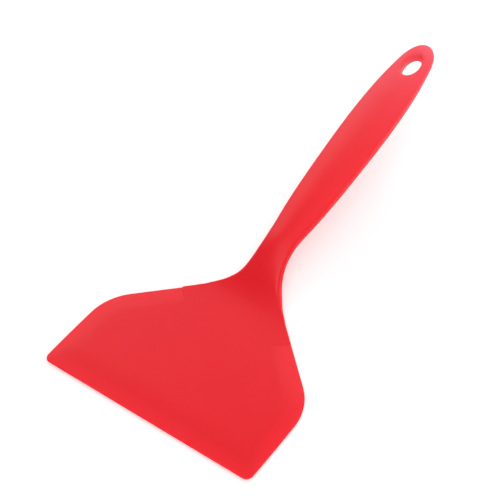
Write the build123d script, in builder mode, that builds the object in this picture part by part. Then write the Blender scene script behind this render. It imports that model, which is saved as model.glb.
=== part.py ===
"""Wide silicone turner: a silicone overmould over a riveted steel blade insert and a hollow handle core.

Millimetres, +Z up. The blade lies flat with its underside on z = 0, its front edge faces -Y,
and the handle rises towards +Y. X = 0 is the plane of symmetry.
"""

from build123d import *
from math import cos, radians, sin, tan
import os

os.makedirs("parts", exist_ok=True)

# Blade outline, seen from above
overall_length = 330.0
edge_width = 150.0
belly_width = 151.8
belly_setback = 44.5
corner_radius = 4.5
shoulder_radius = 36.0
flank_angle = 45.8
step_setback = 92.5
blade_length = 104.0

# Blade section
blade_thickness = 3.2
edge_thickness = 0.9
front_bevel = 18.0
side_bevel = 13.0
plateau_corner_radius = 1.5

# Side view of the neck and handle, along the middle of their thickness
root_bend_radius = 26.0
ramp_angle = 44.0
ramp_length = 7.0
neck_bend_radius = 45.0
handle_angle = 12.35

# Neck and grip sections, and the hanging hole
neck_width = 21.5
neck_thickness = 9.9
grip_width = 33.3
grip_thickness = 11.0
hole_length = 21.0
hole_width = 11.0
hole_setback = 23.0
rim_radius = 1.5

# Steel insert inside the blade and neck
plate_thickness = 1.4
plate_margin = 1.5
plate_corner_radius = 6.0
tang_width = 13.0
tang_grip_length = 36.0
bond_hole_diameter = 5.0
bond_hole_pitch = 18.0
first_hole_row_share = 0.6

# Handle core and the rivets that hold the tang in it
side_skin = 1.8
face_skin = 1.6
core_wall = 1.2
rivet_count = 2
rivet_pitch = 18.0
rivet_setback = 9.0
rivet_shank_diameter = 3.6
rivet_head_diameter = 6.6
rivet_head_height = 1.2
rivet_length = 5.6

# Every through cut reaches this far to each side of its plane
overrun = 10.0

# Stations of the root: place as a share of the cranked run, width left to lose and thickness gained
# on the way from the blade to the neck, and side radius as a share of the half thickness
root_station_shares = (
    (0.039, 0.911, 0.022, 0.99),
    (0.123, 0.698, 0.249, 0.96),
    (0.246, 0.448, 0.598, 0.90),
    (0.381, 0.233, 0.838, 0.82),
    (0.517, 0.105, 0.946, 0.76),
    (0.672, 0.031, 0.987, 0.71),
    (0.847, 0.000, 1.000, 0.68),
)

# Stations of the handle: place as a share of its straight run, half width and half thickness
# as shares of the grip's, and side radius as a share of the half thickness
grip_station_shares = (
    (0.010, 0.672, 0.904, 0.66),
    (0.079, 0.754, 0.918, 0.64),
    (0.228, 0.884, 0.950, 0.62),
    (0.382, 0.958, 0.985, 0.60),
    (0.537, 1.000, 1.000, 0.60),
    (0.680, 0.976, 0.967, 0.60),
    (0.796, 0.890, 0.885, 0.62),
    (0.879, 0.777, 0.790, 0.64),
    (0.934, 0.655, 0.720, 0.68),
    (0.9725, 0.459, 0.620, 0.74),
    (0.9925, 0.240, 0.430, 0.82),
    (0.9985, 0.105, 0.215, 0.90),
)
core_station_shares = grip_station_shares[1:10]

mid_height = blade_thickness / 2
front_plane = Plane(origin=(0, -overall_length / 2, 0))
side_plane = Plane(origin=front_plane.origin, x_dir=(0, 1, 0), z_dir=(1, 0, 0))
flank = radians(flank_angle)
shoulder_centre_x = belly_width / 2 - shoulder_radius


def flank_half_width(setback, inset=0):
    """Half width of the straight flank at a distance behind the front edge."""
    radius = shoulder_radius - inset
    start_x = shoulder_centre_x + radius * cos(flank)
    start_y = belly_setback + radius * sin(flank)
    return start_x - (setback - start_y) * tan(flank)


def flank_setback(half_width, inset=0):
    """Distance behind the front edge at which the straight flank has a half width."""
    return step_setback + (flank_half_width(step_setback, inset) - half_width) / tan(flank)


def blade_sketch(front_inset, side_inset, corner, end_setback):
    """Blade outline pulled in from its edges, closed straight across its rear end."""
    radius = shoulder_radius - side_inset
    corner_x = edge_width / 2 - side_inset
    belly = (shoulder_centre_x + radius, belly_setback)
    shoulder_end = (
        shoulder_centre_x + radius * cos(flank),
        belly_setback + radius * sin(flank),
    )
    shoulder_middle = (
        shoulder_centre_x + radius * cos(flank / 2),
        belly_setback + radius * sin(flank / 2),
    )
    end_x = flank_half_width(end_setback, side_inset)
    with BuildSketch() as blade:
        with BuildLine():
            TangentArc(belly, (corner_x, front_inset), tangent=(0, -1))
            ThreePointArc(belly, shoulder_middle, shoulder_end)
            Line(shoulder_end, (end_x, end_setback))
            mirror(about=Plane.YZ)
            Line((-corner_x, front_inset), (corner_x, front_inset))
            Line((-end_x, end_setback), (end_x, end_setback))
        make_face()
        fillet(blade.vertices().group_by(Axis.Y)[0], radius=corner)
    return blade.sketch


def oval_sketch(plane, half_width, half_height, side_radius):
    """Flattened oval of four arcs that meet tangent, or of two lines and two half circles."""
    reach = half_width - side_radius
    crowned = side_radius < half_height
    if crowned:
        crown_radius = (reach**2 + half_height**2 - side_radius**2) / (2 * (half_height - side_radius))
        centre_distance = crown_radius - side_radius
        touch_x = reach + side_radius * reach / centre_distance
        touch_y = side_radius * (crown_radius - half_height) / centre_distance
    else:
        touch_x = reach
        touch_y = half_height
    with BuildSketch(plane) as oval:
        with BuildLine():
            for side in (1, -1):
                left = (-side * touch_x, side * touch_y)
                right = (side * touch_x, side * touch_y)
                if crowned:
                    ThreePointArc(left, (0, side * half_height), right)
                else:
                    Line(left, right)
                ThreePointArc(right, (side * half_width, 0), (side * touch_x, -side * touch_y))
        make_face()
    return oval.sketch


def draw_centreline(start_setback, handle_run):
    """Middle of the blade's root, neck and handle in side view."""
    root = Line((start_setback, mid_height), (blade_length, mid_height))
    root_bend = JernArc(root @ 1, root % 1, root_bend_radius, ramp_angle)
    ramp = PolarLine(root_bend @ 1, ramp_length, direction=root_bend % 1)
    neck_bend = JernArc(ramp @ 1, ramp % 1, neck_bend_radius, handle_angle - ramp_angle)
    PolarLine(neck_bend @ 1, handle_run, direction=neck_bend % 1)


ramp = radians(ramp_angle)
rise = radians(handle_angle)
crank_reach = (
    root_bend_radius * sin(ramp)
    + ramp_length * cos(ramp)
    + neck_bend_radius * (sin(ramp) - sin(rise))
)
handle_run = (overall_length - blade_length - crank_reach) / cos(rise)

with BuildLine(side_plane) as spine:
    draw_centreline(step_setback, handle_run)

centreline = spine.wires()[0]
spine_length = centreline.length
handle_start = spine_length - handle_run
crank_start = blade_length - step_setback


def spine_plane(distance):
    """Plane square to the centreline at a distance along it from the step."""
    point = centreline.position_at(distance, position_mode=PositionMode.LENGTH)
    along = centreline.tangent_at(distance, position_mode=PositionMode.LENGTH)
    return Plane(origin=point, x_dir=(1, 0, 0), z_dir=along)


def root_sections():
    """Oval sections from the blade's root, through the crank, to the neck."""
    root_half_width = flank_half_width(blade_length)
    sections = []
    for place_share, width_share, thickness_share, radius_share in root_station_shares:
        half_width = neck_width / 2 + width_share * (root_half_width - neck_width / 2)
        half_height = mid_height + thickness_share * (neck_thickness / 2 - mid_height)
        plane = spine_plane(crank_start + place_share * (handle_start - crank_start))
        sections.append(oval_sketch(plane, half_width, half_height, radius_share * half_height))
    return sections


def grip_sections(stations, side_inset=0, face_inset=0):
    """Oval sections of the handle, pulled in from the outer surface."""
    sections = []
    for place_share, width_share, thickness_share, radius_share in stations:
        half_width = width_share * grip_width / 2 - side_inset
        half_height = thickness_share * grip_thickness / 2 - face_inset
        plane = spine_plane(handle_start + place_share * handle_run)
        sections.append(oval_sketch(plane, half_width, half_height, radius_share * half_height))
    return sections


def fan_section(setback):
    """Flat round-sided section of the full-thickness root behind the step."""
    plane = spine_plane(setback - step_setback)
    return oval_sketch(plane, flank_half_width(setback), mid_height, mid_height)


def across_handle(distance):
    """Plane that lies along the handle, its normal pointing up out of the handle's top."""
    station = spine_plane(distance)
    return Plane(origin=station.origin, x_dir=(1, 0, 0), z_dir=station.x_dir.cross(station.z_dir))


core_start = handle_start + core_station_shares[0][0] * handle_run
hole_plane = across_handle(spine_length - hole_setback)
step_x = flank_half_width(step_setback) - mid_height
inner_x = step_x - side_bevel * cos(flank)
inner_y = step_setback - side_bevel * sin(flank)
rivet_planes = [
    across_handle(core_start + rivet_setback + index * rivet_pitch) for index in range(rivet_count)
]

# Steel blade plate with its bent neck and tang
with BuildPart() as blade_plate:
    plate_inset = side_bevel + plate_margin
    plate_front = front_bevel + plate_margin
    plate_end = min(blade_length, flank_setback(tang_width / 2, plate_inset))
    with BuildSketch(front_plane.offset(mid_height - plate_thickness / 2)):
        add(blade_sketch(plate_front, plate_inset, plate_corner_radius, plate_end))
    extrude(amount=plate_thickness)
    with BuildSketch(side_plane):
        with BuildLine():
            draw_centreline(plate_end - tang_width, core_start - handle_start + tang_grip_length)
        trace(line_width=plate_thickness)
    extrude(amount=tang_width / 2, both=True)
    row_count = int((plate_end - plate_front) / bond_hole_pitch)
    for row in range(row_count):
        row_setback = plate_front + (row + first_hole_row_share) * bond_hole_pitch
        row_half_width = min(edge_width / 2 - plate_inset, flank_half_width(row_setback, plate_inset))
        hole_count = int(2 * (row_half_width - bond_hole_diameter) / bond_hole_pitch) + 1
        with BuildSketch(front_plane.offset(mid_height)):
            with Locations((0, row_setback)):
                with GridLocations(bond_hole_pitch, bond_hole_pitch, hole_count, 1):
                    Circle(bond_hole_diameter / 2)
        extrude(amount=overrun, both=True, mode=Mode.SUBTRACT)
    for plane in rivet_planes:
        with BuildSketch(plane):
            Circle(rivet_shank_diameter / 2)
        extrude(amount=overrun, both=True, mode=Mode.SUBTRACT)

# Rivets through the tang and the core
with BuildPart() as tang_rivets:
    for plane in rivet_planes:
        with BuildSketch(plane.offset(-rivet_length / 2)):
            Circle(rivet_shank_diameter / 2)
        extrude(amount=rivet_length)
        with BuildSketch(plane.offset(rivet_length / 2)):
            Circle(rivet_head_diameter / 2)
        extrude(amount=-rivet_head_height)
        with BuildSketch(plane.offset(-rivet_length / 2)):
            Circle(rivet_head_diameter / 2)
        extrude(amount=rivet_head_height)

# Hollow inside the core, one wall behind the tang and one wall before the eye
chamber_start = core_start + tang_grip_length + core_wall
chamber_end = spine_length - hole_setback - hole_length / 2 - side_skin - core_wall
with BuildPart() as chamber:
    chamber_insets = (side_skin + core_wall, face_skin + core_wall)
    loft(sections=grip_sections(core_station_shares, *chamber_insets), ruled=True)
    with BuildSketch(spine_plane(chamber_start)):
        Rectangle(grip_width, grip_width)
    extrude(amount=chamber_end - chamber_start, mode=Mode.INTERSECT)

# Handle core with its slot for the tang, its rivet seats and the eye round the hanging hole
with BuildPart() as handle_core:
    loft(sections=grip_sections(core_station_shares, side_skin, face_skin), ruled=True)
    add(chamber.part, mode=Mode.SUBTRACT)
    with BuildSketch(hole_plane):
        Ellipse(hole_width / 2 + side_skin, hole_length / 2 + side_skin)
    extrude(amount=overrun, both=True, mode=Mode.SUBTRACT)
    for plane in rivet_planes:
        for side in (1, -1):
            with BuildSketch(plane.offset(side * (rivet_length / 2 - rivet_head_height))):
                Circle(rivet_head_diameter / 2)
            extrude(amount=side * overrun, mode=Mode.SUBTRACT)
    add(blade_plate.part, mode=Mode.SUBTRACT)
    add(tang_rivets.part, mode=Mode.SUBTRACT)

# Silicone overmould: neck and grip with the hanging hole, root and bevelled blade in one moulding
with BuildPart() as silicone_overmould:
    loft(sections=[fan_section(blade_length), *root_sections(), *grip_sections(grip_station_shares)])
    with BuildSketch(hole_plane):
        Ellipse(hole_width / 2, hole_length / 2)
    extrude(amount=overrun, both=True, mode=Mode.SUBTRACT)
    fillet(edges(Select.LAST).filter_by(GeomType.LINE, reverse=True), radius=rim_radius)
    loft(sections=[fan_section(step_setback), fan_section(blade_length)], ruled=True)
    with BuildSketch(front_plane):
        with BuildLine():
            Polyline(
                (-step_x, step_setback),
                (-inner_x, inner_y),
                (inner_x, inner_y),
                (step_x, step_setback),
                close=True,
            )
        make_face()
    extrude(amount=blade_thickness)
    with BuildSketch(front_plane.offset(mid_height)):
        add(blade_sketch(0, 0, corner_radius, step_setback))
    extrude(amount=edge_thickness / 2, both=True)
    for side in (1, -1):
        with BuildSketch(front_plane.offset(mid_height + side * edge_thickness / 2)):
            add(blade_sketch(0, 0, corner_radius, step_setback))
        with BuildSketch(front_plane.offset(mid_height + side * mid_height)):
            add(blade_sketch(front_bevel, side_bevel, plateau_corner_radius, step_setback))
        loft(ruled=True)
    add(chamber.part, mode=Mode.SUBTRACT)
    add(blade_plate.part, mode=Mode.SUBTRACT)
    add(handle_core.part, mode=Mode.SUBTRACT)
    add(tang_rivets.part, mode=Mode.SUBTRACT)

silicone_overmould.part.label = "silicone_overmould"
export_step(silicone_overmould.part, "parts/silicone_overmould.step")

handle_core.part.label = "handle_core"
export_step(handle_core.part, "parts/handle_core.step")

blade_plate.part.label = "blade_plate"
export_step(blade_plate.part, "parts/blade_plate.step")

tang_rivets.part.label = "tang_rivets"
export_step(tang_rivets.part, "parts/tang_rivets.step")
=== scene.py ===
"""Looks of the wide silicone turner. Metres, +Z up, X = 0 the plane of symmetry, front edge towards -Y."""

from math import asin, cos, pi, radians, sin, tan

import bmesh
import bpy
import numpy as np
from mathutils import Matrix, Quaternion, Vector


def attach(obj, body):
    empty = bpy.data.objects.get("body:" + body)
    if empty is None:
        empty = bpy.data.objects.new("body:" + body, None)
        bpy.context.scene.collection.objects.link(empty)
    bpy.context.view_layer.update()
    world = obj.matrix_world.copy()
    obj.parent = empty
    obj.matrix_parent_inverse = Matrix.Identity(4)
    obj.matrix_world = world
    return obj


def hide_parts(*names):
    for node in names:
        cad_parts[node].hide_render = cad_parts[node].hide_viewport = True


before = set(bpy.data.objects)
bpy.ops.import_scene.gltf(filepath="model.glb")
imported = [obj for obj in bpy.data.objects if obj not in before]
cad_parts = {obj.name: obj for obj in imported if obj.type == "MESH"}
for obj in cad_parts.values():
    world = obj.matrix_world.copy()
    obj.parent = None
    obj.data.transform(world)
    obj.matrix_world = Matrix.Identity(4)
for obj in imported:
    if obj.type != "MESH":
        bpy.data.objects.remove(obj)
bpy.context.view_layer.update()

MM = 0.001

# Sizes of the moulding, in millimetres, as the part has them
OVERALL_LENGTH = 330.0
EDGE_WIDTH = 150.0
BELLY_WIDTH = 151.8
BELLY_SETBACK = 44.5
CORNER_RADIUS = 4.5
SHOULDER_RADIUS = 36.0
FLANK = radians(45.8)
STEP_SETBACK = 92.5
BLADE_LENGTH = 104.0
BLADE_THICKNESS = 3.2
EDGE_THICKNESS = 0.9
FRONT_BEVEL = 18.0
SIDE_BEVEL = 13.0
PLATEAU_CORNER_RADIUS = 1.5
ROOT_BEND_RADIUS = 26.0
RAMP = radians(44.0)
RAMP_LENGTH = 7.0
NECK_BEND_RADIUS = 45.0
RISE = radians(12.35)
NECK_WIDTH = 21.5
NECK_THICKNESS = 9.9
GRIP_WIDTH = 33.3
GRIP_THICKNESS = 11.0
HOLE_LENGTH = 21.0
HOLE_WIDTH = 11.0
HOLE_SETBACK = 23.0

# Softness that the mould leaves on edges and bends
RIM_RADIUS = 2.5
UNDER_RIM_SHARE = 0.35
EDGE_ROUND = 0.42
CREASE_HALF_SHARE = 0.10
STEP_HALF_RUN = 0.45
FULL_SIDE_SHARE = 0.9999
SQUARE_FROM, SQUARE_POWER = 0.86, 2.8
EASE_RADIUS = 120.0
EASE_TURN = radians(8.0)
EASED_ROOT_RADIUS = 20.0
TIP_GAP = 0.25
TIP_SIDE_SHARE = 0.86

# Root: share of the crank's length, of the extra width left and of the thickness gained, side radius share
ROOT_STATIONS = (
    (0.039, 0.911, 0.022, 0.99),
    (0.123, 0.698, 0.249, 0.96),
    (0.246, 0.448, 0.598, 0.90),
    (0.381, 0.233, 0.838, 0.82),
    (0.517, 0.105, 0.946, 0.76),
    (0.672, 0.031, 0.987, 0.71),
    (0.847, 0.000, 1.000, 0.68),
)

# Grip: share of the handle's run, of the grip's width and of its thickness, side radius share
GRIP_STATIONS = (
    (0.010, 0.672, 0.904, 0.66),
    (0.079, 0.754, 0.918, 0.64),
    (0.228, 0.884, 0.950, 0.62),
    (0.382, 0.958, 0.985, 0.60),
    (0.537, 1.000, 1.000, 0.60),
    (0.680, 0.976, 0.967, 0.60),
    (0.796, 0.890, 0.885, 0.62),
    (0.879, 0.777, 0.790, 0.64),
    (0.934, 0.655, 0.696, 0.68),
    (0.9725, 0.459, 0.590, 0.74),
    (0.9925, 0.240, 0.430, 0.82),
)

MID = BLADE_THICKNESS / 2
CRANK_LENGTH = ROOT_BEND_RADIUS * RAMP + RAMP_LENGTH + NECK_BEND_RADIUS * (RAMP - RISE)
CRANK_REACH = (
    ROOT_BEND_RADIUS * sin(RAMP) + RAMP_LENGTH * cos(RAMP) + NECK_BEND_RADIUS * (sin(RAMP) - sin(RISE))
)
HANDLE_START = BLADE_LENGTH + CRANK_LENGTH
HANDLE_RUN = (OVERALL_LENGTH - BLADE_LENGTH - CRANK_REACH) / cos(RISE)
ROOT_LEAD_IN = BLADE_LENGTH - 6, BLADE_LENGTH - 3, BLADE_LENGTH
STRAIGHT_END = BLADE_LENGTH - 5
HOLE_RUN = HANDLE_START + HANDLE_RUN - HOLE_SETBACK
TIP = HANDLE_START + HANDLE_RUN - TIP_GAP

# Rows and columns of the mesh
FRONT_COUNT = 31
CORNER_COUNT = 12
SIDE_COUNT = 22
SHOULDER_COUNT = 26
FLANK_COUNT = 12
STEP_SHIFTS = STEP_HALF_RUN * np.array((-2.4, -1.4, -1.0, -0.75, -0.5, -0.25, 0.0, 0.25, 0.5, 0.75, 1.0))
FLANK_STOP = 0.8
STRIP_STEPS = np.array((
    0.0, 0.02, 0.08, 0.17, 0.29, 0.42, 0.55, 0.75, 1.0, 1.35, 1.9, 3.0, 5.0, 7.5, 10.0, 11.6,
    12.025, 12.3, 12.6, 13.0, 13.4, 13.7, 13.975, 14.3,
)) / SIDE_BEVEL
ACROSS_COUNT = 2 * FRONT_COUNT - 1
STRAIGHT_RUN = 117.0
FAN_ROWS = 30
HANDLE_ROWS = 128
HOLE_ROWS = 26
TIP_ROWS = 26
BLOCK_SHARE = 0.635
BLOCK_HALF_RUN = 13.6
BLOCK_LOOPS = 9
RIM_LOOPS = 10
WALL_LOOPS = 8
FORM_POINTS = 6000
MIRRORED_ROWS = 4
TINY = 1e-9
WELD_GAP, SLIVER = 2e-6, 1e-7

# Colours of the silicone: its pigment, a painted glow on thin edges, painted light paling the grip, a painted
# sheen towards the tip, and dust
BLADE_REDS = (0.765, 0.0070, 0.0170, 1.0), (0.810, 0.0090, 0.0205, 1.0)
PAINTED_LIGHT_GRIP_REDS = (0.837, 0.0136, 0.0240, 1.0), (0.867, 0.0162, 0.0276, 1.0)
EDGE_GLOW_PAINTED_RED = (0.930, 0.0120, 0.0250, 1.0)
PAINTED_SHEEN_RED = (0.895, 0.090, 0.126, 1.0)
DUST_PINK = (0.86, 0.30, 0.30, 1.0)

# Where these set in, in millimetres from the front edge, over what length, and how far down the bevel
SIDE_GLOW_START, SIDE_GLOW_LENGTH = 14.0, 16.0
GLOW_DEPTH, SIDE_GLOW_DEPTH, GLOW_SLOPE = 0.70, 0.25, 2.6
GRIP_RED_START, GRIP_RED_LENGTH = 125.0, 60.0
SHEEN_PAINT_START, SHEEN_PAINT_LENGTH = 150.0, 180.0

# Steel, nylon and the studio
SHEET_STEEL, SHEET_GRAIN = (0.60, 0.60, 0.62), (22.0, 1.0, 22.0)
WIRE_STEEL, WIRE_GRAIN = (0.66, 0.66, 0.67), (6.0, 6.0, 6.0)
OILED_SHARE = 0.86
NYLON_BLACKS = (0.020, 0.021, 0.024, 1.0), (0.050, 0.051, 0.056, 1.0)
FIBRE_GREY = (0.26, 0.26, 0.27, 1.0)
PAPER_WHITES = (0.915, 0.915, 0.915, 1.0), (0.925, 0.925, 0.925, 1.0)
WHITE = (1.0, 1.0, 1.0, 1.0)
FLOOR_HALF, FLOOR_HEIGHT = 3.0, -0.00005
FLOOR_LIFT, FAR_LIFT = 0.17, 0.6
FAR_START, FAR_RISE = 0.55, 0.9
AMBIENT = 0.41


# ---------------------------------------------------------------- node trees

class Socket:
    """A node's output in arithmetic: each operation adds one Math node."""

    def __init__(self, net, socket):
        self.net = net
        self.socket = socket

    def math(self, operation, *values):
        return self.net.math(operation, self, *values)

    def __add__(self, other):
        return self.net.math("ADD", self, other)

    def __radd__(self, other):
        return self.net.math("ADD", other, self)

    def __sub__(self, other):
        return self.net.math("SUBTRACT", self, other)

    def __rsub__(self, other):
        return self.net.math("SUBTRACT", other, self)

    def __mul__(self, other):
        return self.net.math("MULTIPLY", self, other)

    def __rmul__(self, other):
        return self.net.math("MULTIPLY", other, self)

    def __truediv__(self, other):
        return self.net.math("DIVIDE", self, other)

    def clamp(self, low, high):
        return self.math("MAXIMUM", low).math("MINIMUM", high)


class Net:
    """One node tree, shader or geometry, and the one method that adds a node to it."""

    def __init__(self, tree):
        self.tree = tree

    def add(self, kind, settings=None, inputs=None, output=None):
        """Adds a node, sets it, fills or links its inputs and gives one output, or the node itself."""
        node = self.tree.nodes.new(kind)
        for name, value in (settings or {}).items():
            setattr(node, name, value)
        for name, value in (inputs or {}).items():
            socket = self.find(node.inputs, name)
            if isinstance(value, Socket):
                self.tree.links.new(value.socket, socket)
            else:
                socket.default_value = value
        if output is None:
            return node
        return Socket(self, self.find(node.outputs, output))

    def find(self, sockets, name):
        """A socket by its place, its identifier or its name."""
        if isinstance(name, int):
            return sockets[name]
        for socket in sockets:
            if socket.identifier == name:
                return socket
        return sockets[name]

    def math(self, operation, *values):
        return self.add("ShaderNodeMath", {"operation": operation}, dict(enumerate(values)), 0)

    def mix(self, factor, first, second):
        sockets = {"Factor_Float": factor, "A_Color": first, "B_Color": second}
        return self.add("ShaderNodeMix", {"data_type": "RGBA"}, sockets, "Result_Color")

    def noise(self, vector, scale, detail=2.0, roughness=0.5, distortion=0.0):
        sockets = {
            "Vector": vector, "Scale": scale, "Detail": detail,
            "Roughness": roughness, "Distortion": distortion,
        }
        return self.add("ShaderNodeTexNoise", {}, sockets, "Fac")

    def stretched(self, vector, scale):
        """Coordinates scaled unevenly, so that a noise on them runs in lines."""
        return self.add("ShaderNodeMapping", {}, {"Vector": vector, "Scale": scale}, "Vector")


def material_net(name):
    """A new material with an empty tree, its net and its Object coordinates."""
    material = bpy.data.materials.new(name)
    material.use_nodes = True
    material.node_tree.nodes.clear()
    net = Net(material.node_tree)
    place = net.add("ShaderNodeTexCoord", output="Object")
    return material, net, place


def close_material(net, shader):
    """Leads the shader to the surface output."""
    net.add("ShaderNodeOutputMaterial", inputs={"Surface": shader})


# ---------------------------------------------------------------- finishes

def silicone_finish():
    """Pigmented silicone: satin mould grain, dust, a painted glow on thin edges, painted light paling the
    grip and a painted sheen towards the tip.
    """
    material, net, place = material_net("red_silicone")
    cloud = net.noise(place, 26.0, 3.0, 0.55)
    drift = net.noise(place, 95.0, 4.0, 0.6, 0.4)
    grain = net.noise(place, 2600.0, 2.0, 0.6)
    pit = net.noise(place, 900.0, 3.0, 0.65)
    speck = net.noise(place, 1500.0, 1.0, 0.5)
    dust = ((speck - 0.71) * 12.0).clamp(0.0, 1.0)
    shade = (0.5 + (cloud - 0.5) * 0.9 + (drift - 0.5) * 0.5).clamp(0.0, 1.0)
    split = net.add("ShaderNodeSeparateXYZ", {}, {0: place})
    # Painted glow: the base colour is lightened near the thin edges, where light would shine through the thin
    # silicone.
    depth = ((Socket(net, split.outputs[2]) / MM - MID).math("ABSOLUTE") / MID).math("MINIMUM", 1.0)
    along = Socket(net, split.outputs[1]) / MM + OVERALL_LENGTH / 2
    aside = ((along - SIDE_GLOW_START) / SIDE_GLOW_LENGTH).clamp(0.0, 1.0)
    thin = ((GLOW_DEPTH + aside * SIDE_GLOW_DEPTH - depth) * (GLOW_SLOPE - aside)).clamp(0.0, 1.0)
    blade = net.mix(thin, net.mix(shade, *BLADE_REDS), EDGE_GLOW_PAINTED_RED)
    # Painted light: the grip is made paler in the base colour, standing in for the brighter light on the
    # handle; its random tone stays.
    painted_grip_light = net.mix(
        ((along - GRIP_RED_START) / GRIP_RED_LENGTH).clamp(0.0, 1.0), blade, net.mix(shade, *PAINTED_LIGHT_GRIP_REDS),
    )
    # Painted sheen: the handle turns paler and pinker towards the tip, a soft highlight painted into the base
    # colour, with a mottled edge.
    painted_sheen = ((along - SHEEN_PAINT_START) / SHEEN_PAINT_LENGTH + (cloud - 0.5) * 0.2).clamp(0.0, 1.0)
    body = net.mix(painted_sheen.math("POWER", 2.5), painted_grip_light, PAINTED_SHEEN_RED)
    colour = net.mix(dust * 0.08, body, DUST_PINK)
    rough = 0.37 + (drift - 0.5) * 0.10 + (pit - 0.5) * 0.10 + dust * 0.08
    bump = net.add(
        "ShaderNodeBump", {},
        {"Strength": 0.16, "Distance": 0.00012, "Height": grain * 0.45 + pit * 0.55}, "Normal",
    )
    shader = net.add(
        "ShaderNodeBsdfPrincipled", {},
        {
            "Base Color": colour, "Roughness": rough, "Normal": bump, "IOR": 1.41, "Specular IOR Level": 0.38,
            "Subsurface Weight": 1.0, "Subsurface Radius": (1.0, 0.12, 0.12), "Subsurface Scale": 0.003,
        },
        "BSDF",
    )
    close_material(net, shader)
    return material


def steel_finish(name, grain_scale, tone):
    """Rolled or drawn steel: long fine lines one way, with smears of mill oil."""
    material, net, place = material_net(name)
    lines = net.noise(net.stretched(place, grain_scale), 60.0, 4.0, 0.62)
    smear = net.noise(place, 42.0, 3.0, 0.5, 0.8)
    dark = tuple(channel * OILED_SHARE for channel in tone) + (1.0,)
    colour = net.mix((lines * 0.6 + smear * 0.4).clamp(0.0, 1.0), dark, tone + (1.0,))
    rough = 0.26 + lines * 0.16 + smear * 0.10
    bump = net.add(
        "ShaderNodeBump", {}, {"Strength": 0.20, "Distance": 0.00005, "Height": lines}, "Normal",
    )
    shader = net.add(
        "ShaderNodeBsdfPrincipled", {},
        {"Base Color": colour, "Metallic": 1.0, "Roughness": rough, "Normal": bump}, "BSDF",
    )
    close_material(net, shader)
    return material


def nylon_finish():
    """Dark nylon with short glass fibres that show as pale flow lines along the core."""
    material, net, place = material_net("glass_filled_nylon")
    flow = net.noise(net.stretched(place, (9.0, 1.0, 9.0)), 160.0, 4.0, 0.6, 0.3)
    fibre = net.noise(net.stretched(place, (6.0, 1.0, 6.0)), 900.0, 2.0, 0.6)
    fleck = ((fibre - 0.62) * 9.0).clamp(0.0, 1.0)
    colour = net.mix(fleck * 0.45, net.mix(flow, *NYLON_BLACKS), FIBRE_GREY)
    bump = net.add(
        "ShaderNodeBump", {}, {"Strength": 0.25, "Distance": 0.00008, "Height": fibre}, "Normal",
    )
    shader = net.add(
        "ShaderNodeBsdfPrincipled", {},
        {"Base Color": colour, "Roughness": 0.52 + flow * 0.16, "Normal": bump}, "BSDF",
    )
    close_material(net, shader)
    return material


def floor_finish():
    """White studio sweep: it takes the shadow, and shows as white to the camera and in gloss."""
    material, net, place = material_net("studio_sweep")
    path = net.add("ShaderNodeLightPath")
    seen = net.math(
        "MAXIMUM",
        Socket(net, path.outputs["Is Camera Ray"]),
        Socket(net, path.outputs["Is Glossy Ray"]),
    )
    mottle = net.noise(place, 6.0, 2.0)
    paper = net.add("ShaderNodeBsdfDiffuse", {}, {"Color": net.mix(mottle, *PAPER_WHITES)}, "BSDF")
    away = net.add("ShaderNodeVectorMath", {"operation": "LENGTH"}, {0: place}, "Value")
    glow = FLOOR_LIFT + ((away - FAR_START) * FAR_RISE).clamp(0.0, 1.0) * FAR_LIFT
    lift = net.add("ShaderNodeEmission", {}, {"Color": WHITE, "Strength": seen * glow}, "Emission")
    close_material(net, net.add("ShaderNodeAddShader", {}, {0: paper, 1: lift}, 0))
    return material


# ---------------------------------------------------------------- form of the moulding

def flank_half_width(run):
    """Half width on the flank's straight line at a run from the front edge."""
    start_x = BELLY_WIDTH / 2 - SHOULDER_RADIUS + SHOULDER_RADIUS * cos(FLANK)
    start_y = BELLY_SETBACK + SHOULDER_RADIUS * sin(FLANK)
    return start_x - (run - start_y) * tan(FLANK)


def spline_through(knots, values, at):
    """Natural cubic spline through the values at the knots."""
    count = len(knots)
    step = np.diff(knots)
    rise = np.diff(values) / step
    matrix = np.eye(count)
    right = np.zeros(count)
    for k in range(1, count - 1):
        matrix[k, k - 1:k + 2] = step[k - 1], 2 * (step[k - 1] + step[k]), step[k]
        right[k] = 6 * (rise[k] - rise[k - 1])
    bend = np.linalg.solve(matrix, right)
    k = np.clip(np.searchsorted(knots, at) - 1, 0, count - 2)
    t = at - knots[k]
    slope = rise[k] - step[k] * (2 * bend[k] + bend[k + 1]) / 6
    return values[k] + t * (slope + t * (bend[k] / 2 + t * (bend[k + 1] - bend[k]) / (6 * step[k])))


def station_rows():
    """Run, half width, half thickness and side radius share of each station, blade to tip."""
    root_half = flank_half_width(BLADE_LENGTH)
    rows = [(run, flank_half_width(run), MID, 1.0) for run in ROOT_LEAD_IN]
    for place, width, thickness, radius in ROOT_STATIONS:
        rows.append((
            BLADE_LENGTH + place * CRANK_LENGTH,
            NECK_WIDTH / 2 + width * (root_half - NECK_WIDTH / 2),
            MID + thickness * (NECK_THICKNESS / 2 - MID),
            radius,
        ))
    for place, width, thickness, radius in GRIP_STATIONS:
        rows.append((
            HANDLE_START + place * HANDLE_RUN, width * GRIP_WIDTH / 2, thickness * GRIP_THICKNESS / 2, radius,
        ))
    rows.append((TIP, 0.0, 0.0, TIP_SIDE_SHARE))
    return np.array(rows)


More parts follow.
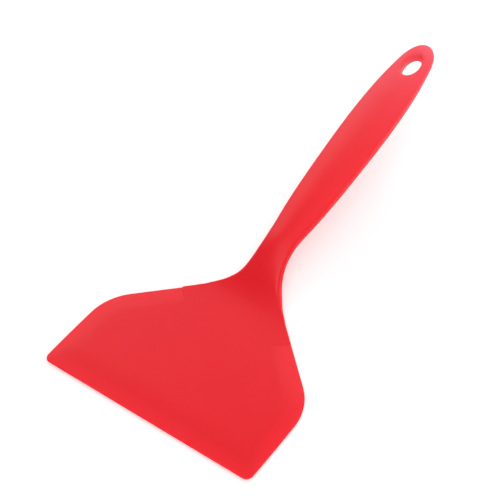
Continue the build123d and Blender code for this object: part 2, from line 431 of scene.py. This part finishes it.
def smooth_form():
    """Dense table of the form along its outline, round at the tip because rows mirrored past it guide it."""
    rows = station_rows()
    beyond = rows[-2:-2 - MIRRORED_ROWS:-1] * (1, -1, -1, 1)
    rows = np.vstack([rows, beyond])
    knots = np.concatenate([[0.0], np.cumsum(np.hypot(np.diff(rows[:, 0]), np.diff(rows[:, 1])))])
    dense = np.linspace(0.0, knots[-1 - MIRRORED_ROWS], FORM_POINTS)
    table = np.column_stack([spline_through(knots, rows[:, k], dense) for k in range(4)])
    table[-1, 1:3] = 0.0
    return dense, table


FORM_PLACES, FORM = smooth_form()


def form_at(run):
    """Half width, half thickness and side radius share at a run from the front edge."""
    run = np.asarray(run, float)
    straight = run < STRAIGHT_END
    width = np.where(straight, flank_half_width(run), np.interp(run, FORM[:, 0], FORM[:, 1]))
    height = np.where(straight, MID, np.interp(run, FORM[:, 0], FORM[:, 2]))
    radius = np.where(straight, 1.0, np.interp(run, FORM[:, 0], FORM[:, 3]))
    return width, height, radius


def section_height(x, half_width, half_height, radius_share):
    """Height of the crowned oval above its middle plane, squarer at the sides where it is flat."""
    x = np.abs(x)
    side = np.minimum(radius_share, FULL_SIDE_SHARE) * half_height
    reach = np.maximum(half_width - side, TINY)
    crown = (reach**2 + half_height**2 - side**2) / (2 * np.maximum(half_height - side, TINY))
    touch = reach + side * reach / np.maximum(crown - side, TINY)
    over = np.sqrt(np.maximum(crown**2 - np.minimum(x, touch) ** 2, 0.0)) - (crown - half_height)
    square = np.clip((radius_share - SQUARE_FROM) / (1.0 - SQUARE_FROM), 0.0, 1.0)
    power = 2.0 + (SQUARE_POWER - 2.0) * square
    past = np.clip((np.minimum(x, half_width) - reach) / np.maximum(side, TINY), 0.0, 1.0)
    round_side = side * (1.0 - past**power) ** (1.0 / power)
    return np.where(x <= touch, over, round_side)


def rounded_corner(end_x, lean, radius, front, count):
    """Points of a corner arc that joins the front line to the side line."""
    turn = pi / 2 - lean
    length = radius * tan(turn / 2)
    centre = np.array((end_x - length, front + radius))
    angles = np.linspace(-pi / 2, -pi / 2 + turn, count)
    return centre + radius * np.column_stack([np.cos(angles), np.sin(angles)])


def side_arc(start_y, belly_x, radius, count):
    """Points of the slightly bowed side, from the corner arc's end to the belly."""
    y = np.linspace(start_y, BELLY_SETBACK, count)
    x = belly_x - radius + np.sqrt(radius**2 - (BELLY_SETBACK - y) ** 2)
    return np.column_stack([x, y])


def half_outline(front_inset, side_inset, corner_radius, shifts):
    """Right half of the blade's outline or plateau line, from the middle of the front to the step."""
    belly_x = BELLY_WIDTH / 2 - side_inset
    corner_x = EDGE_WIDTH / 2 - side_inset
    rise = BELLY_SETBACK - front_inset
    gap = belly_x - corner_x
    bow_radius = (rise**2 + gap**2) / (2 * gap)
    corner = rounded_corner(corner_x, asin(rise / bow_radius), corner_radius, front_inset, CORNER_COUNT)
    front = np.column_stack([np.linspace(0.0, corner[0, 0], FRONT_COUNT), np.full(FRONT_COUNT, front_inset)])
    side = side_arc(corner[-1, 1], belly_x, bow_radius, SIDE_COUNT)
    radius = SHOULDER_RADIUS - side_inset
    angles = np.linspace(0.0, FLANK, SHOULDER_COUNT)
    centre = np.array((BELLY_WIDTH / 2 - SHOULDER_RADIUS, BELLY_SETBACK))
    shoulder = centre + radius * np.column_stack([np.cos(angles), np.sin(angles)])
    across = np.array((cos(FLANK), sin(FLANK)))
    along = np.array((-sin(FLANK), cos(FLANK)))
    top_edge = np.array((flank_half_width(STEP_SETBACK) - MID, STEP_SETBACK))
    outer_half = flank_half_width(0.0)
    reach = (outer_half - top_edge[0] - top_edge[1] * tan(FLANK)) / (across[0] + across[1] * tan(FLANK))
    crease = top_edge + (reach - side_inset) * across
    flank = np.linspace(shoulder[-1], crease + (shifts[0] - FLANK_STOP) * along, FLANK_COUNT)
    step = crease + np.outer(shifts, along)
    return np.vstack([front, corner[1:], side[1:], shoulder[1:], flank[1:], step])


def step_blend(shift):
    """How far the bevel has turned into the full-thickness root, with softened corners."""
    t = np.clip((shift / STEP_HALF_RUN + 1.0) / 2.0, 0.0, 1.0)
    return t * t * (3.0 - 2.0 * t)


def strip_grids():
    """Bevelled strip along the right half outline: plan positions and half thickness."""
    outer = half_outline(0.0, 0.0, CORNER_RADIUS, STEP_SHIFTS)
    inner = half_outline(FRONT_BEVEL, SIDE_BEVEL, PLATEAU_CORNER_RADIUS, STEP_SHIFTS)
    share = STRIP_STEPS[None, :, None]
    plan = outer[:, None, :] + (inner - outer)[:, None, :] * share
    distance = np.linalg.norm(plan - outer[:, None, :], axis=2)
    near = np.clip(EDGE_ROUND - distance, 0.0, None)
    drop = EDGE_ROUND - np.sqrt(np.maximum(EDGE_ROUND**2 - near**2, 0.0))
    gain = MID - EDGE_THICKNESS / 2
    past = STRIP_STEPS - 1.0
    soft = MID - gain * (CREASE_HALF_SHARE - past) ** 2 / (4 * CREASE_HALF_SHARE)
    bevel = np.where(past < 0, EDGE_THICKNESS / 2 + gain * STRIP_STEPS, MID)
    bevel = np.where(np.abs(past) < CREASE_HALF_SHARE, soft, bevel)
    edge_gap = EDGE_THICKNESS / 2 - EDGE_ROUND
    thin_edge = np.clip(1.0 - distance / EDGE_ROUND, 0.0, 1.0) ** 4 * edge_gap
    half = bevel[None, :] - drop - thin_edge
    blend = np.zeros(len(outer))
    blend[-len(STEP_SHIFTS):] = step_blend(STEP_SHIFTS)
    full = section_height(plan[:, :, 0], flank_half_width(plan[:, :, 1]), MID, 1.0)
    blend = blend[:, None]
    return plan, half * (1 - blend) + full * blend


def rings():
    """Places across, runs and heights of all rings from the step's crease to the tip, and the even shares."""
    plan, _ = strip_grids()
    crease = plan[-1]
    middle = np.linspace(crease[-1], crease[-1] * (-1, 1), ACROSS_COUNT)[1:-1]
    first = np.vstack([crease, middle, crease[::-1] * (-1, 1)])
    first_share = first[:, 0] / flank_half_width(first[:, 1])
    first_share[0], first_share[-1] = 1.0, -1.0
    even_share = np.cos(np.linspace(0.0, pi, len(first)))
    runs, shares = [], []
    for part in np.linspace(0.0, 1.0, FAN_ROWS + 1):
        runs.append(first[:, 1] + part * (STRAIGHT_RUN - first[:, 1]))
        shares.append(first_share + part * (even_share - first_share))
    marks = np.interp(
        (STRAIGHT_RUN, HOLE_RUN - BLOCK_HALF_RUN, HOLE_RUN + BLOCK_HALF_RUN), FORM[:, 0], FORM_PLACES,
    )
    places = np.concatenate([
        np.linspace(marks[0], marks[1], HANDLE_ROWS + 1)[1:],
        np.linspace(marks[1], marks[2], HOLE_ROWS + 1)[1:],
        np.linspace(marks[2], FORM_PLACES[-1], TIP_ROWS + 1)[1:],
    ])
    widths = [form_at(run)[0] for run in runs]
    heights = [form_at(run)[1] for run in runs]
    radii = [form_at(run)[2] for run in runs]
    for place in places:
        run, width, height, radius = (np.interp(place, FORM_PLACES, FORM[:, k]) for k in range(4))
        runs.append(np.full(len(first), run))
        shares.append(even_share)
        widths.append(np.full(len(first), width))
        heights.append(np.full(len(first), height))
        radii.append(np.full(len(first), radius))
    runs, shares, widths, heights, radii = map(np.array, (runs, shares, widths, heights, radii))
    x = shares * widths
    z = section_height(x, widths, np.maximum(heights, TINY), radii)
    z[:, 0] = z[:, -1] = 0.0
    z[-1] = 0.0
    return x, runs, z, even_share


class Skin:
    """Gathers grids of points as quads; the seams are welded once all are in."""

    def __init__(self):
        self.points = []
        self.faces = []
        self.count = 0

    def grid(self, points, closed=False):
        rows, columns = points.shape[:2]
        start = self.count
        self.points.append(points.reshape(-1, 3))
        self.count += rows * columns
        last = columns if closed else columns - 1
        for row in range(rows - 1):
            for column in range(last):
                a = start + row * columns + column
                b = start + row * columns + (column + 1) % columns
                self.faces.append((a, b, b + columns, a + columns))

    def mesh(self, name):
        data = bpy.data.meshes.new(name)
        data.from_pydata((np.vstack(self.points) * MM).tolist(), [], self.faces)
        form = bmesh.new()
        form.from_mesh(data)
        bmesh.ops.remove_doubles(form, verts=form.verts, dist=WELD_GAP)
        bmesh.ops.dissolve_degenerate(form, edges=form.edges, dist=SLIVER)
        bmesh.ops.recalc_face_normals(form, faces=form.faces)
        for face in form.faces:
            face.smooth = True
        form.to_mesh(data)
        form.free()
        return data


def stack(x, y, z):
    """Points from three grids of coordinates, each spread to the same shape."""
    return np.stack(np.broadcast_arrays(x, y, z), axis=-1)


def hole_loops(block_x, block_run, rim):
    """Loops on the upper half, from the block's border to the rim's inner end at the hole."""
    half_x, half_run = HOLE_WIDTH / 2, HOLE_LENGTH / 2
    border = np.concatenate([
        stack(block_x[0, :-1], block_run[0, :-1], 0), stack(block_x[:-1, -1], block_run[:-1, -1], 0),
        stack(block_x[-1, :0:-1], block_run[-1, :0:-1], 0), stack(block_x[:0:-1, 0], block_run[:0:-1, 0], 0),
    ])[:, :2]
    centre = np.array((0.0, HOLE_RUN))
    away = border - centre
    angle = np.arctan2(away[:, 1] / (half_run + RIM_RADIUS), away[:, 0] / (half_x + RIM_RADIUS))
    ray = np.column_stack([np.cos(angle), np.sin(angle)])
    outer_rim = centre + ray * (half_x + rim, half_run + rim)
    loops = []
    for part in np.linspace(0.0, 1.0, BLOCK_LOOPS):
        plan = border + part * (outer_rim - border)
        loops.append(stack(plan[:, 0], plan[:, 1], section_height(plan[:, 0], *form_at(plan[:, 1]))))
    rim_height = loops[-1][:, 2]
    for turn in np.linspace(0.0, pi / 2, RIM_LOOPS)[1:]:
        spread = rim * (1 - sin(turn))
        plan = centre + ray * (half_x + spread, half_run + spread)
        loops.append(stack(plan[:, 0], plan[:, 1], rim_height - rim * (1 - cos(turn))))
    return loops


def hole_skin(skin, block_x, block_run):
    """The block round the hole, with a wide rim above, a small one below and the wall between."""
    upper = hole_loops(block_x, block_run, RIM_RADIUS)
    lower = [loop * (1, 1, -1) for loop in hole_loops(block_x, block_run, RIM_RADIUS * UNDER_RIM_SHARE)]
    parts = np.linspace(0.0, 1.0, WALL_LOOPS)[1:-1]
    wall = [upper[-1] + part * (lower[-1] - upper[-1]) for part in parts]
    skin.grid(np.array(upper + wall + lower[::-1]), closed=True)


def straight_moulding():
    """The moulding before it is laid along the crank: x across, y the run, z from the middle plane."""
    skin = Skin()
    plan, half = strip_grids()
    for side in (1, -1):
        for height in (half, -half):
            skin.grid(stack(plan[:, :, 0] * side, plan[:, :, 1], height))
    inner = plan[:, -1]
    front_x = np.concatenate([-inner[FRONT_COUNT - 1:0:-1, 0], inner[:FRONT_COUNT, 0]])
    share = front_x / front_x[-1]
    rows = inner[FRONT_COUNT - 1:]
    plateau_x = rows[:, :1] * share[None, :]
    plateau_x[-1] = np.linspace(-rows[-1, 0], rows[-1, 0], ACROSS_COUNT)
    for height in (MID, -MID):
        skin.grid(stack(plateau_x, rows[:, 1:2], height))
    x, run, z, share = rings()
    block = np.flatnonzero(np.abs(share) <= BLOCK_SHARE)
    first, last = block[0], block[-1]
    top = FAN_ROWS + HANDLE_ROWS
    end = top + HOLE_ROWS
    for sign in (1, -1):
        points = stack(x, run, z * sign)
        skin.grid(points[:top + 1])
        skin.grid(points[top:end + 1, :first + 1])
        skin.grid(points[top:end + 1, last:])
        skin.grid(points[end:])
    hole_skin(skin, x[top:end + 1, first:last + 1], run[top:end + 1, first:last + 1])
    return skin.mesh("straight_moulding")


def crank_tree(material):
    """Geometry nodes that lay a straight moulding along the blade, root bend, ramp, neck bend and handle."""
    tree = bpy.data.node_groups.new("lay_along_crank", "GeometryNodeTree")
    tree.interface.new_socket("Moulding", in_out="INPUT", socket_type="NodeSocketGeometry")
    ease_end, ease_rise = EASE_RADIUS * sin(EASE_TURN), EASE_RADIUS * (1 - cos(EASE_TURN))
    bend_reach = ease_end + EASED_ROOT_RADIUS * (sin(RAMP) - sin(EASE_TURN))
    bend_rise = ease_rise + EASED_ROOT_RADIUS * (cos(EASE_TURN) - cos(RAMP))
    corner = BLADE_LENGTH + ROOT_BEND_RADIUS * tan(RAMP / 2)
    bend_start = corner + bend_rise / tan(RAMP) - bend_reach
    ramp_length = RAMP_LENGTH + (ROOT_BEND_RADIUS * (1 - cos(RAMP)) - bend_rise) / sin(RAMP)
    sizes = {
        "Bend start": bend_start * MM, "Ease radius": EASE_RADIUS * MM, "Ease angle": EASE_TURN,
        "Root bend radius": EASED_ROOT_RADIUS * MM, "Ramp angle": RAMP, "Ramp length": ramp_length * MM,
        "Neck bend radius": NECK_BEND_RADIUS * MM, "Handle angle": RISE,
        "Middle height": MID * MM, "Front edge": -OVERALL_LENGTH / 2 * MM,
    }
    identifiers = {}
    for name in sizes:
        socket = tree.interface.new_socket(name, in_out="INPUT", socket_type="NodeSocketFloat")
        identifiers[name] = socket.identifier
    tree.interface.new_socket("Laid moulding", in_out="OUTPUT", socket_type="NodeSocketGeometry")
    net = Net(tree)
    given = net.add("NodeGroupInput")
    start, ease_radius, ease, root_radius, ramp, ramp_run, neck_radius, rise, middle, front = (
        Socket(net, given.outputs[name]) for name in sizes
    )
    place = net.add("GeometryNodeInputPosition", output=0)
    split = net.add("ShaderNodeSeparateXYZ", {}, {0: place})
    x, run, height = (Socket(net, split.outputs[k]) for k in range(3))
    past_ease = run - start
    ease_turn = (past_ease / ease_radius).clamp(0.0, ease)
    past_root = past_ease - ease_radius * ease
    root_turn = (past_root / root_radius).clamp(0.0, ramp - ease)
    bend = ease_turn + root_turn
    past_ramp = past_root - root_radius * (ramp - ease)
    ramp_part = past_ramp.clamp(0.0, ramp_run)
    past_neck = past_ramp - ramp_run
    neck_turn = (past_neck / neck_radius).clamp(0.0, ramp - rise)
    handle_part = (past_neck - neck_radius * (ramp - rise)).math("MAXIMUM", 0.0)
    slope = ramp - neck_turn
    tilt = bend - neck_turn
    forward = (
        run.math("MINIMUM", start) + ease_radius * ease_turn.math("SINE")
        + root_radius * (bend.math("SINE") - ease_turn.math("SINE")) + ramp_part * ramp.math("COSINE")
        + neck_radius * (ramp.math("SINE") - slope.math("SINE")) + handle_part * rise.math("COSINE")
    )
    upward = (
        middle + ease_radius * (1.0 - ease_turn.math("COSINE"))
        + root_radius * (ease_turn.math("COSINE") - bend.math("COSINE")) + ramp_part * ramp.math("SINE")
        + neck_radius * (slope.math("COSINE") - ramp.math("COSINE")) + handle_part * rise.math("SINE")
    )
    laid = net.add(
        "ShaderNodeCombineXYZ", {},
        {0: x, 1: front + forward - height * tilt.math("SINE"), 2: upward + height * tilt.math("COSINE")}, 0,
    )
    straight = Socket(net, given.outputs["Moulding"])
    moved = net.add("GeometryNodeSetPosition", {}, {"Geometry": straight, "Position": laid}, 0)
    real = net.add("GeometryNodeRealizeInstances", {}, {"Geometry": moved}, 0)
    dressed = net.add("GeometryNodeSetMaterial", {}, {"Geometry": real, "Material": material}, 0)
    net.add("NodeGroupOutput", {}, {0: dressed})
    return tree, {identifiers[name]: value for name, value in sizes.items()}


def settle(piece, tree, values, name):
    """Runs a geometry tree on a piece once and leaves its result as a plain mesh."""
    modifier = piece.modifiers.new("shape", "NODES")
    modifier.node_group = tree
    for identifier, value in values.items():
        modifier[identifier] = value
    graph = bpy.context.evaluated_depsgraph_get()
    finished = bpy.data.meshes.new_from_object(piece.evaluated_get(graph))
    piece.modifiers.remove(modifier)
    straight = piece.data
    piece.data = finished
    finished.name = name
    bpy.data.meshes.remove(straight)


red_silicone = silicone_finish()
moulding = bpy.data.objects.new("silicone_moulding", straight_moulding())
bpy.context.scene.collection.objects.link(moulding)
crank, crank_sizes = crank_tree(red_silicone)
settle(moulding, crank, crank_sizes, "silicone_moulding")
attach(moulding, "root")
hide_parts("silicone_overmould")


# ---------------------------------------------------------------- inner pieces

def dress(node, material):
    """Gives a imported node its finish."""
    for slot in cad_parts[node].material_slots:
        slot.material = material


dress("blade_plate", steel_finish("rolled_steel", SHEET_GRAIN, SHEET_STEEL))
dress("tang_rivets", steel_finish("headed_steel", WIRE_GRAIN, WIRE_STEEL))
dress("handle_core", nylon_finish())


# ---------------------------------------------------------------- stage, camera and light

floor_data = bpy.data.meshes.new("studio_floor")
floor_data.from_pydata(
    [(x * FLOOR_HALF, y * FLOOR_HALF, FLOOR_HEIGHT) for x, y in ((-1, -1), (1, -1), (1, 1), (-1, 1))],
    [], [(0, 1, 2, 3)],
)
floor = bpy.data.objects.new("studio_floor", floor_data)
floor_data.materials.append(floor_finish())
bpy.context.scene.collection.objects.link(floor)

CAMERA_AZIMUTH = radians(35.495)
CAMERA_ELEVATION = radians(45.674)
CAMERA_ROLL = radians(-0.855)
CAMERA_PLACE = (0.25766, -0.41629, 0.49987)
LENS, SENSOR = 76.015, 36.0
camera_data = bpy.data.cameras.new("camera")
camera_data.lens = LENS
camera_data.sensor_width = SENSOR
camera = bpy.data.objects.new("camera", camera_data)
back = Vector((
    sin(CAMERA_AZIMUTH) * cos(CAMERA_ELEVATION),
    -cos(CAMERA_AZIMUTH) * cos(CAMERA_ELEVATION),
    sin(CAMERA_ELEVATION),
))
level_view = back.to_track_quat("Z", "Y")
camera.rotation_euler = (level_view @ Quaternion((0.0, 0.0, 1.0), CAMERA_ROLL)).to_euler()
camera.location = CAMERA_PLACE
bpy.context.scene.collection.objects.link(camera)
bpy.context.scene.camera = camera

IMAGE_RIGHT = Vector((cos(CAMERA_AZIMUTH), sin(CAMERA_AZIMUTH), 0.0))
IMAGE_AWAY = Vector((-sin(CAMERA_AZIMUTH), cos(CAMERA_AZIMUTH), 0.0))


def softbox(name, right, away, up, size, power):
    """Square lamp that faces the spatula, placed by how far right, away and up from it."""
    data = bpy.data.lights.new(name, "AREA")
    data.shape = "SQUARE"
    data.size = size
    data.energy = power
    lamp = bpy.data.objects.new(name, data)
    lamp.location = IMAGE_RIGHT * right + IMAGE_AWAY * away + Vector((0.0, 0.0, up))
    lamp.rotation_euler = lamp.location.to_track_quat("Z", "Y").to_euler()
    bpy.context.scene.collection.objects.link(lamp)


softbox("overhead_softbox", 0.0, -0.3, 1.38, 1.0, 3.8)
softbox("front_softbox", 0.0, -1.2, 1.0, 1.0, 9.6)
softbox("back_left_softbox", -0.6, 1.2, 1.0, 1.0, 4.7)
softbox("back_right_softbox", 0.6, 1.2, 1.0, 1.0, 5.9)
softbox("right_softbox", 1.3, 0.0, 0.25, 0.8, 4.3)

world = bpy.data.worlds.new("studio_world")
world.use_nodes = True
world.node_tree.nodes.clear()
sky = Net(world.node_tree)
seen = Socket(sky, sky.add("ShaderNodeLightPath").outputs["Is Camera Ray"])
strength = AMBIENT + seen * (1.0 - AMBIENT)
glow = sky.add("ShaderNodeBackground", {}, {"Color": WHITE, "Strength": strength}, 0)
sky.add("ShaderNodeOutputWorld", {}, {"Surface": glow})
bpy.context.scene.world = world
bpy.context.scene.view_settings.view_transform = "Standard"
